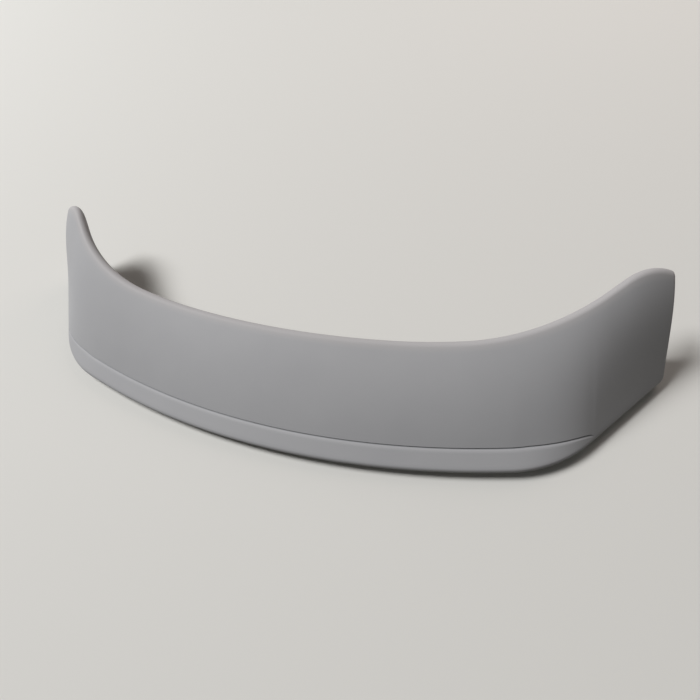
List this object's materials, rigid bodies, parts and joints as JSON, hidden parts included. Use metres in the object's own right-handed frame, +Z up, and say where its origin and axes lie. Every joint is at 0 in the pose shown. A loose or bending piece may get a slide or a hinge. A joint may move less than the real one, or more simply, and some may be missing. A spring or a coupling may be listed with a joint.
{
  "type": "rear spoiler",
  "caption": "Wrap-round rear spoiler for a car tail: a leaning blade with a rounded upper edge, a lip below a shadow groove and two rising side horns, on a flat foot.",
  "frame": {"origin": "middle of the flat foot, on the mirror plane", "axes": "+X across the car, +Y from the lower rim towards the upper edge, +Z up from the foot"},
  "size_m": [1.2642, 0.3935, 0.1664],
  "materials": {
    "primer": "matt light grey primer over integral-skin foam"
  },
  "bodies": {
    "root": {"spoiler_body": "primer"}
  },
  "joints": []
}
